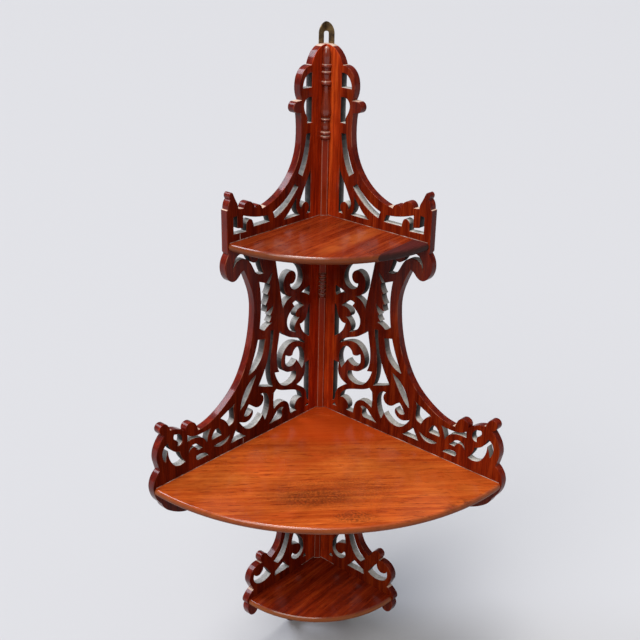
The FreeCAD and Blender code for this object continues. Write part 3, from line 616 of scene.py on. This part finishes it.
# Corner strips. A bevelled mahogany strip is glued into the inner corner of each tier. The lathe has cut a
# band of beads in the lower two, and an urn with rings and a bullet-shaped finial in the highest one.
# The strip's front arrises and the tops of its rings are painted pale as highlights.
STRIP_HALF = 5.8 * MM
STRIP_FLAT = 3.9 * MM
STRIP_FRONT = 7.7 * MM
STRIP_ARRIS = 0.5 * MM
STRIP_GRAIN = (200 * MM, 10 * MM, 10 * MM)
ARRIS_FACING = (-0.985, -0.73)
# Painted highlight: pale lines along the strip's front arrises.
ARRIS_HIGHLIGHT = 0.3
# Painted highlight: the tops of the turned rings are painted pale where they look up.
RING_HIGHLIGHT = 0.55
RING_HIGHLIGHT_TILT = (0.45, 0.75)
TURNING_OFFSET = 4.1 * MM
BEAD = 6.1 * MM
WAIST = 4.4 * MM
URN_BEAD = 7.4 * MM
BEAD_PITCH = 6.2 * MM
BEAD_COUNT = 6
BEAD_FULLNESS = 0.65
TURNED_SIDES = 48
SLICE_FIT = 1e-7
SLICE_WELD = 1e-6
BEAD_DROPS = {"middle_corner_strip": 74.2 * MM, "lower_corner_strip": 64.4 * MM}
CREST_DRAWN = 522.0
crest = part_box("left_inner_board")[1].z


def run_tree():
    """A round run along a path, as thick at each point as its radius says."""
    tree, given, put = new_group(
        "GeometryNodeTree", "round_run",
        [("Path", "NodeSocketGeometry"), ("Sides", "NodeSocketInt"), ("Finish", "NodeSocketMaterial")],
        [("Run", "NodeSocketGeometry")],
    )
    link = tree.links.new
    path = add(tree, "GeometryNodeMeshToCurve")
    thickness = fill(add(tree, "GeometryNodeInputNamedAttribute", data_type="FLOAT"), Name="radius")
    circle = fill(add(tree, "GeometryNodeCurvePrimitiveCircle", mode="RADIUS"), Radius=1.0)
    sweep = fill(add(tree, "GeometryNodeCurveToMesh"), Fill_Caps=True)
    whole = add(tree, "GeometryNodeRealizeInstances")
    coated = add(tree, "GeometryNodeSetMaterial")
    link(given.outputs["Path"], path.inputs["Mesh"])
    link(given.outputs["Sides"], circle.inputs["Resolution"])
    link(path.outputs["Curve"], sweep.inputs["Curve"])
    link(circle.outputs["Curve"], sweep.inputs["Profile Curve"])
    link(thickness.outputs["Attribute"], sweep.inputs["Scale"])
    link(sweep.outputs["Mesh"], whole.inputs["Geometry"])
    link(whole.outputs["Geometry"], coated.inputs["Geometry"])
    link(given.outputs["Finish"], coated.inputs["Material"])
    link(coated.outputs["Geometry"], put.inputs["Run"])
    return tree


ROUND_RUN = run_tree()


def round_run(path, radii, sides, finish):
    """Mesh of a run through the points of a path, with a radius at each."""
    line = bpy.data.meshes.new("path")
    line.from_pydata(path, [(number, number + 1) for number in range(len(path) - 1)], [])
    line.attributes.new("radius", "FLOAT", "POINT").data.foreach_set("value", radii)
    holder = bpy.data.objects.new("path", line)
    bpy.context.scene.collection.objects.link(holder)
    nodes = holder.modifiers.new("run", "NODES")
    nodes.node_group = ROUND_RUN
    sockets = {
        item.name: item.identifier for item in ROUND_RUN.interface.items_tree if item.in_out == "INPUT"
    }
    nodes[sockets["Sides"]] = sides
    nodes[sockets["Finish"]] = finish
    seen = holder.evaluated_get(bpy.context.evaluated_depsgraph_get())
    mesh = bpy.data.meshes.new_from_object(seen)
    bpy.data.objects.remove(holder)
    return mesh


def drawn(height):
    """Real height of one on the drawing of the upper tier."""
    return crest + (height - CREST_DRAWN) * MM


def half_round(low, high, start, swell, stop, steps=10):
    """One bead between two heights, from one radius out to its swell and in to another."""
    points = []
    for step in range(steps + 1):
        part = step / steps
        level = start + (stop - start) * part
        fullness = math.sin(math.pi * part) ** BEAD_FULLNESS
        points.append((low + (high - low) * part, level + (swell - level) * fullness))
    return points


def flowing(controls, steps=6):
    """A smooth curve through given heights and radii."""
    points = []
    padded = [controls[0], *controls, controls[-1]]
    for a, b, c, d in zip(padded, padded[1:], padded[2:], padded[3:]):
        for step in range(steps):
            t = step / steps
            points.append(tuple(
                0.5 * (2 * q + (r - p) * t + (2 * p - 5 * q + 4 * r - s) * t ** 2
                       + (3 * q - p - 3 * r + s) * t ** 3)
                for p, q, r, s in zip(a, b, c, d)))
    return points + [controls[-1]]


def add_strip(work, low, high):
    """The plain strip between two heights: back in the corner, flat in front, with two bevels."""
    section = [(0, 0), (-STRIP_HALF, -STRIP_HALF), (-STRIP_FLAT, -STRIP_FRONT), (STRIP_FLAT, -STRIP_FRONT),
               (STRIP_HALF, -STRIP_HALF)]
    foot = [work.verts.new((x, corner_y + y, low)) for x, y in section]
    head = [work.verts.new((x, corner_y + y, high)) for x, y in section]
    work.faces.new(foot[::-1])
    work.faces.new(head)
    for number in range(len(section)):
        after = (number + 1) % len(section)
        work.faces.new((foot[number], foot[after], head[after], head[number]))
    bmesh.ops.recalc_face_normals(work, faces=work.faces)


def mark_strip(work):
    """Writes a painted highlight, as pale, along the strip's front arrises."""
    rim = work.loops.layers.float_color.new("rim")
    for face in work.faces:
        highlight_share = ARRIS_HIGHLIGHT if ARRIS_FACING[0] < face.normal.y < ARRIS_FACING[1] else 0.0
        for loop in face.loops:
            loop[rim] = (0.0, highlight_share, 0.0, 1.0)


def add_turning(work, profile, finish):
    """Turned work on the strip's axis, cut back to the two panels' faces, with painted highlights on its
    rings.
    """
    axis = corner_y - TURNING_OFFSET
    heights, radii = zip(*profile)
    mesh = round_run([(0, axis, height) for height in heights], radii, TURNED_SIDES, finish)
    turned = bmesh.new()
    turned.from_mesh(mesh)
    for front in PANEL_FRONTS.values():
        whole = turned.verts[:] + turned.edges[:] + turned.faces[:]
        bmesh.ops.bisect_plane(turned, geom=whole, dist=SLICE_FIT, plane_co=(0, corner_y, 0), plane_no=front,
                               clear_inner=True)
        bmesh.ops.holes_fill(turned, edges=[edge for edge in turned.edges if edge.is_boundary], sides=0)
    bmesh.ops.remove_doubles(turned, verts=turned.verts, dist=SLICE_WELD)
    bmesh.ops.recalc_face_normals(turned, faces=turned.faces)
    rim = turned.loops.layers.float_color.new("rim")
    for face in turned.faces:
        # Painted highlight on the ring tops, by how far they look up.
        dust_and_light = upward_share(face, RING_HIGHLIGHT_TILT) * RING_HIGHLIGHT
        for loop in face.loops:
            loop[rim] = (1.0, dust_and_light, 0.0, 1.0)
    fitted = bpy.data.meshes.new("turned")
    turned.to_mesh(fitted)
    turned.free()
    work.from_mesh(fitted)


# The urn's profile: heights on the drawing in millimetres, radii as shares of its bead.
URN_FOOT = 400.0
NECK = 0.65
URN = half_round(URN_FOOT, 405.5, 0.72, 1.0, 0.72) + half_round(405.5, 411, 0.72, 1.0, NECK)
URN += flowing([(411, NECK), (414, 0.79), (418, 0.84), (421.5, 0.76), (424, NECK)])
URN += half_round(424, 428, NECK, 0.92, NECK)
URN += flowing([(428, NECK), (430.5, 0.90), (434, 1.05), (438, 1.08), (443, 1.0), (449, 0.84), (456, 0.67),
                (463, 0.57), (470, 0.54)])
URN += half_round(470, 476.5, 0.54, 1.04, 0.80) + flowing([(476.5, 0.80), (480, 0.73), (485, 0.80)])
URN += half_round(485, 489, 0.80, 0.95, NECK) + [(491, 0.63)]
URN += half_round(492.5, 498, NECK, 1.02, 0.84)
URN += flowing([(498, 0.84), (504, 0.86), (509.5, 0.82), (514, 0.66), (517.5, 0.42), (519.6, 0.16),
                (520.2, 0.04)])
LEAST_RISE = 1e-7


def climbing(points):
    """Drops points that don't rise above the one before."""
    kept = [points[0]]
    for point in points[1:]:
        if point[0] > kept[-1][0] + LEAST_RISE:
            kept.append(point)
    return kept


# The turned work is tinted browner and greyer: worn polish, and a painted grey sky sheen.
strip_polish = polished_wood(
    "strip_polish",
    [(0.3, (0.18, 0.012, 0.0025)), (0.5, (0.31, 0.026, 0.0045)), (0.7, (0.44, 0.052, 0.009))],
    GRAIN_UP, STRIP_GRAIN, outline=(0.7, 1.0, 1.9), polish=(0.16, 0.26), gloss=0.12, coat=0.0, edge_coat=0.9,
)
for node in ("upper_corner_strip", "middle_corner_strip", "lower_corner_strip"):
    low, high = (corner.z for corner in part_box(node))
    work = bmesh.new()
    if node == "upper_corner_strip":
        add_strip(work, low, drawn(URN_FOOT))
        profile = [(drawn(height), share * URN_BEAD) for height, share in URN]
    else:
        stop = high - BEAD_DROPS[node]
        start = stop - BEAD_COUNT * BEAD_PITCH
        add_strip(work, low, start)
        add_strip(work, stop, high)
        profile = []
        for number in range(BEAD_COUNT):
            foot = start + number * BEAD_PITCH
            profile += half_round(foot, foot + BEAD_PITCH, WAIST, BEAD, WAIST)
    ease_arrises(work, STRIP_ARRIS)
    mark_strip(work)
    add_turning(work, climbing(profile), strip_polish)
    piece_of(f"{node}_turned", work, strip_polish, "strip_wood", node)

# Dust and old glue. A thin pale line has gathered in the angle between each shelf, the panels and the foot
# of the strip, and glue shows in the board joints of the left panel just above the shelves.
DUST_LINE = 0.45 * MM
GLUE_LINE = 0.3 * MM
LINE_SIDES = 8
GLUE_SHOWS = 3 * MM
GLUE_SLACK = 2 * MM
LINE_TONES = [(0.0, (0.09, 0.012, 0.006)), (0.5, (0.26, 0.15, 0.11)), (1.0, (0.55, 0.46, 0.42))]
SHELF_REACH = {"top_shelf": 176.0 * MM, "middle_shelf": 312.0 * MM, "bottom_shelf": 36.0 * MM}

dust_line = bpy.data.materials.new("joint_dust")
dust_line.use_nodes = True
tree = dust_line.node_tree
surface = fill(tree.nodes["Principled BSDF"], Roughness=0.9)
place = add(tree, "ShaderNodeTexCoord").outputs["Object"]
broken = spread(tree, noise(tree, place, 60.0, detail=5.0, rough=0.7), 0.36, 0.62)
tree.links.new(ramp_of(tree, LINE_TONES, broken), surface.inputs["Base Color"])

work = bmesh.new()
shelf_levels = {node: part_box(node)[1].z for node in SHELF_REACH}
for node, level in shelf_levels.items():
    out = SHELF_REACH[node] * math.sqrt(0.5)
    path = [(-out, -out), (-STRIP_HALF, -STRIP_HALF), (-STRIP_FLAT, -STRIP_FRONT), (STRIP_FLAT, -STRIP_FRONT),
            (STRIP_HALF, -STRIP_HALF), (out, -out)]
    line = [(x, corner_y + y, level) for x, y in path]
    work.from_mesh(round_run(line, [DUST_LINE] * len(line), LINE_SIDES, dust_line))
for side, foot, low, high in glue_lines:
    showing = any(low - GLUE_SLACK < level + GLUE_SHOWS < high for level in shelf_levels.values())
    if side == "left" and showing:
        start = max(level for level in shelf_levels.values() if level < high)
        line = [(foot.x, foot.y, height) for height in (start, high - PANEL_ARRIS)]
        work.from_mesh(round_run(line, [GLUE_LINE] * len(line), LINE_SIDES, dust_line))
piece_of("joint_dust", work, dust_line, "shelf_wood")

# Hanger. A plate of old brass, folded into the corner behind the head, with a slot for the wall hook. It is
# let in flush and screwed to both panels.
PLATE_ARRIS = 0.25 * MM
BRASS_TONES = [(0.35, (0.05, 0.03, 0.016)), (0.55, (0.2, 0.125, 0.05)), (0.72, (0.4, 0.28, 0.12))]
brass = bpy.data.materials.new("old_brass")
brass.use_nodes = True
tree = brass.node_tree
surface = fill(tree.nodes["Principled BSDF"], Metallic=0.55)
place = add(tree, "ShaderNodeTexCoord").outputs["Object"]
tarnish = noise(tree, place, 110.0, detail=6.0, rough=0.65)
tree.links.new(ramp_of(tree, BRASS_TONES, tarnish), surface.inputs["Base Color"])
tree.links.new(spread(tree, tarnish, 0.3, 0.7, to_low=0.6, to_high=0.35), surface.inputs["Roughness"])
work = merged("hanger_plate")
ease_arrises(work, PLATE_ARRIS, within=True)
piece_of("hanger_plate_brass", work, brass, "aged_brass", "hanger_plate")

# Fixings. The two countersunk screws of the hanger, and the cut nails driven through the panels' backs into
# the shelves and through one panel's edge into the other. All are iron gone brown.
RUST_TONES = [(0.35, (0.03, 0.024, 0.022)), (0.6, (0.09, 0.05, 0.035)), (0.75, (0.2, 0.1, 0.06))]
iron = bpy.data.materials.new("rusted_iron")
iron.use_nodes = True
tree = iron.node_tree
surface = fill(tree.nodes["Principled BSDF"], Roughness=0.7, Metallic=0.6)
place = add(tree, "ShaderNodeTexCoord").outputs["Object"]
rust = noise(tree, place, 400.0, detail=5.0, rough=0.7)
tree.links.new(ramp_of(tree, RUST_TONES, rust), surface.inputs["Base Color"])
for node in ("hanger_screws", "corner_nails", "top_shelf_nails", "middle_shelf_nails", "bottom_shelf_nails"):
    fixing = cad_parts[node]
    fixing.data.materials.clear()
    fixing.data.materials.append(iron)

# Studio. A plain pale floor under the tail, an even pale surround, and three soft lights: the key from the
# front left, so that the right panel is the lighter one, one from above, and a cool one high on the left.
# The floor is pale to look at but throws little light back up, so that the undersides stay deep.
FLOOR_REACH = 30.0
FLOOR_SEEN = (0.58, 0.58, 0.6)
FLOOR_BOUNCED = (0.16, 0.155, 0.15)
floor_level = cad_box[0].z
floor_mesh = bpy.data.meshes.new("floor")
floor_mesh.from_pydata(
    [(x * FLOOR_REACH, y * FLOOR_REACH, floor_level) for x, y in ((-1, -1), (1, -1), (1, 1), (-1, 1))],
    [], [(0, 1, 2, 3)])
floor = bpy.data.objects.new("floor", floor_mesh)
bpy.context.scene.collection.objects.link(floor)
floor_paint = bpy.data.materials.new("floor_paint")
floor_paint.use_nodes = True
tree = floor_paint.node_tree
surface = fill(tree.nodes["Principled BSDF"], Roughness=0.9)
rays = add(tree, "ShaderNodeLightPath").outputs
seen = worked_out(tree, "MAXIMUM", rays["Is Camera Ray"],
                  worked_out(tree, "MAXIMUM", rays["Is Glossy Ray"], rays["Is Transmission Ray"]))
tree.links.new(mixed(tree, seen, FLOOR_BOUNCED, FLOOR_SEEN), surface.inputs["Base Color"])
floor_mesh.materials.append(floor_paint)

world = bpy.data.worlds.new("surround")
bpy.context.scene.world = world
world.use_nodes = True
fill(world.node_tree.nodes["Background"], Color=(0.95, 0.97, 1.0, 1.0), Strength=0.26)


def soft_light(name, towards, wide, strength, colour):
    """Light from one side of the sky, as wide as an angle."""
    light = bpy.data.lights.new(name, "SUN")
    light.angle = math.radians(wide)
    light.energy = strength
    light.color = colour
    holder = bpy.data.objects.new(name, light)
    bpy.context.scene.collection.objects.link(holder)
    holder.rotation_mode = "QUATERNION"
    holder.rotation_quaternion = (-Vector(towards)).to_track_quat("-Z", "Y")


soft_light("key", towards=(-0.34, -0.63, 0.7), wide=44, strength=1.65, colour=(1.0, 0.97, 0.93))
soft_light("side", towards=(-0.635, 0.225, 0.735), wide=28, strength=1.45, colour=(0.82, 0.88, 1.0))
soft_light("top", towards=(-0.19, -0.22, 0.955), wide=22, strength=1.35, colour=(1.0, 0.98, 0.95))

# The camera stands at the photograph's viewing angle, fitted to the edges of the three shelves.
eye = bpy.data.cameras.new("camera")
eye.lens = 56.33
eye.sensor_width = 36.0
camera = bpy.data.objects.new("camera", eye)
bpy.context.scene.collection.objects.link(camera)
camera.matrix_world = Matrix((
    (0.99829, 0.00614, -0.05806, -0.085263),
    (-0.05573, 0.39659, -0.91630, -1.330394),
    (0.01740, 0.91797, 0.39626, 0.169037),
    (0.0, 0.0, 0.0, 1.0),
))
bpy.context.scene.camera = camera
bpy.context.scene.view_settings.view_transform = "Standard"
